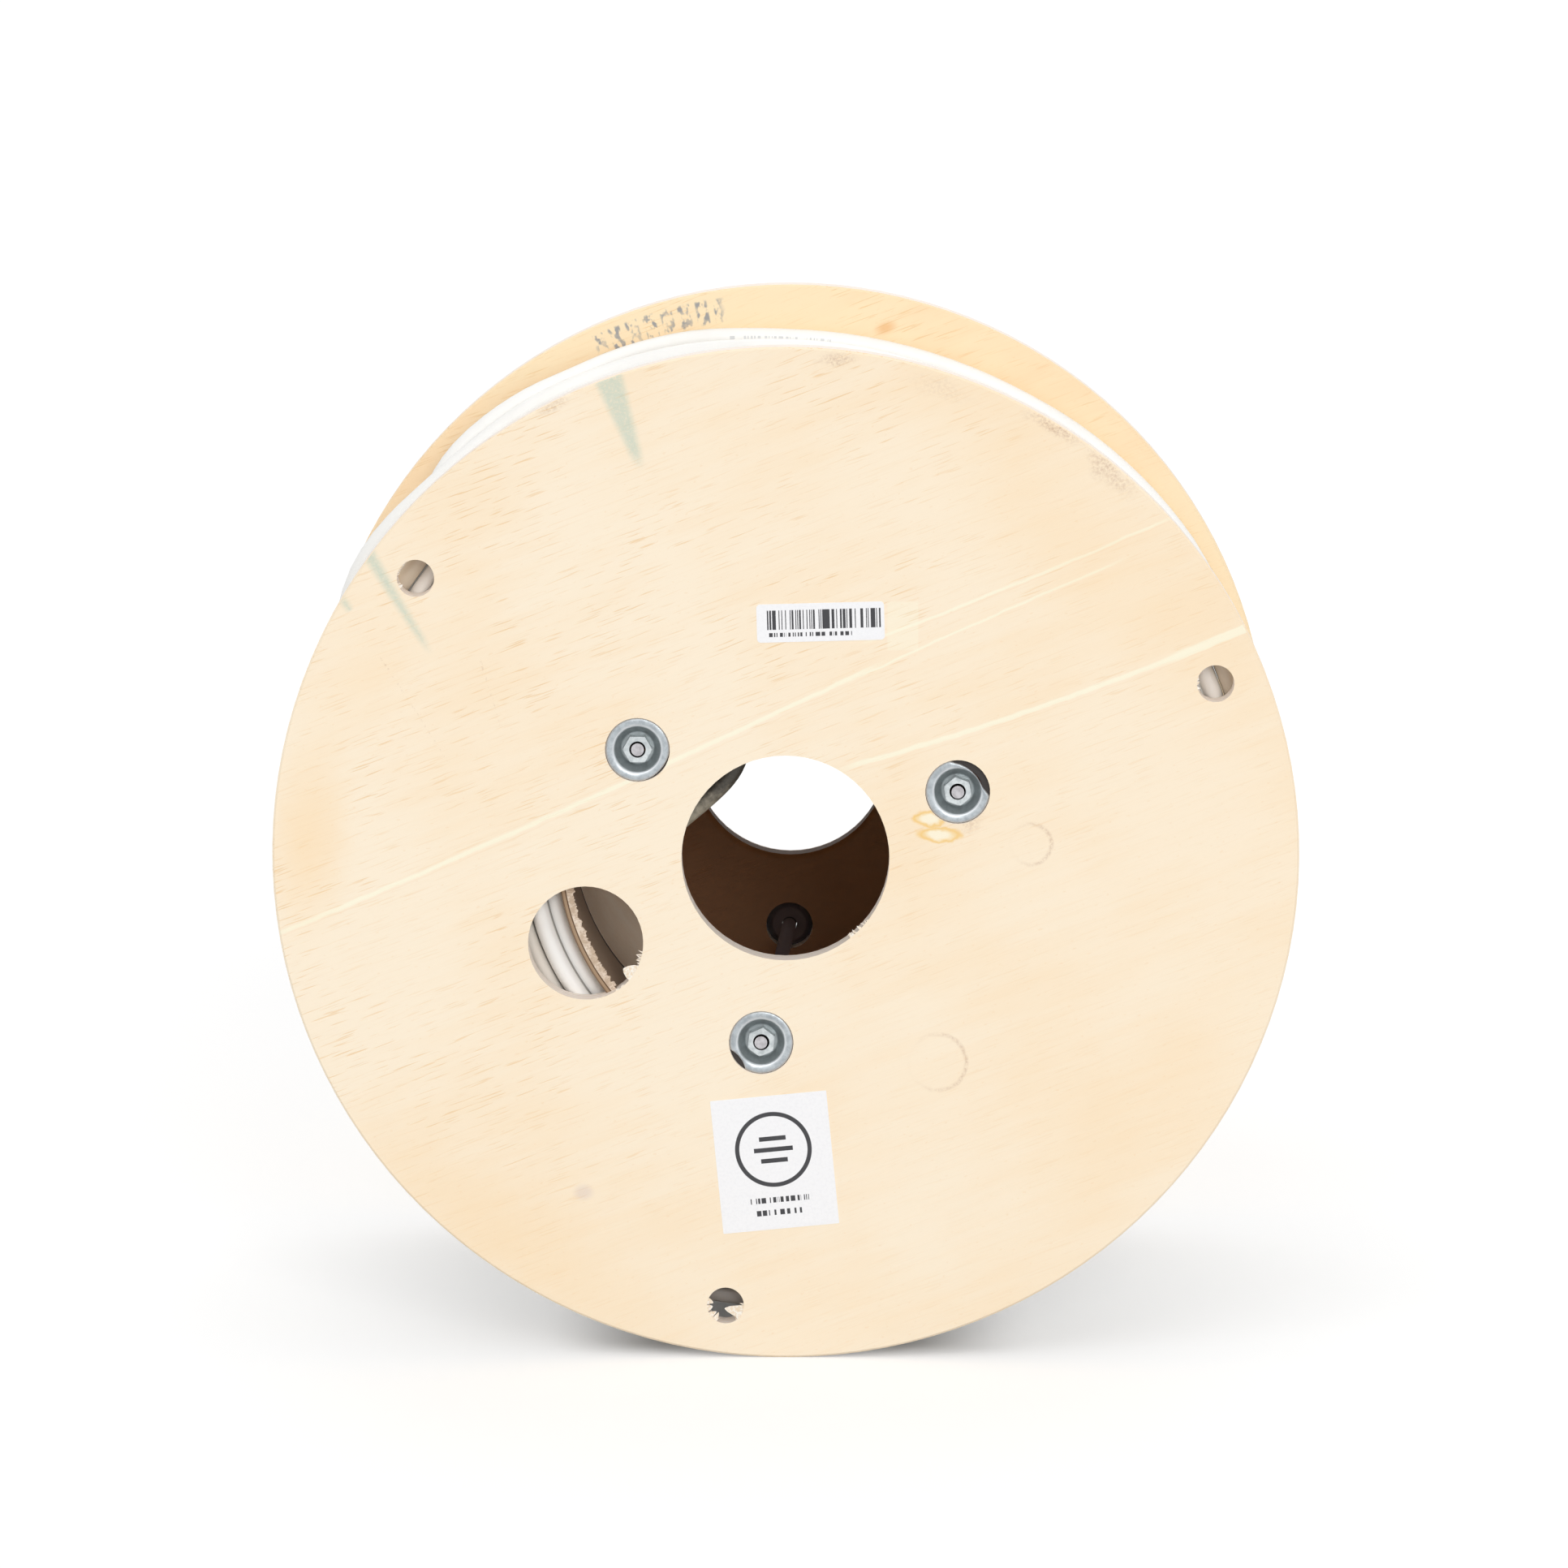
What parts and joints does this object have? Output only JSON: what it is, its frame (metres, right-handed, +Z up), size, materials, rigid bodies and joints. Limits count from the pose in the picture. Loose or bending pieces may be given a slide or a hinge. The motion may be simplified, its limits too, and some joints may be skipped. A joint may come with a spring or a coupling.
{
  "type": "cable reel",
  "caption": "Plywood cable reel wound full of round cable: two flanges with an arbor bore on a board drum, held by tie rods with cup washers and nuts.",
  "frame": {"origin": "middle of the arbor bore's axis, halfway between the two outer flange faces", "axes": "+Y along the arbor bore from the front flange to the rear one, +Z up with the reel standing on its two rims, +X to the right seen from the front"},
  "size_m": [0.4, 0.24, 0.4],
  "materials": {
    "plywood": "raw sanded veneer",
    "drum_board": "matte wound board",
    "cable_jacket": "satin",
    "zinc_steel": "zinc plated"
  },
  "bodies": {
    "root": {"front_flange": "plywood", "rear_flange": "plywood", "drum": "drum_board", "cable_winding": "cable_jacket", "tie_rod_1": "zinc_steel", "tie_rod_2": "zinc_steel", "tie_rod_3": "zinc_steel", "front_washer_1": "zinc_steel", "front_washer_2": "zinc_steel", "front_washer_3": "zinc_steel", "rear_washer_1": "zinc_steel", "rear_washer_2": "zinc_steel", "rear_washer_3": "zinc_steel", "front_nut_1": "zinc_steel", "front_nut_2": "zinc_steel", "front_nut_3": "zinc_steel", "rear_nut_1": "zinc_steel", "rear_nut_2": "zinc_steel", "rear_nut_3": "zinc_steel"}
  },
  "joints": []
}
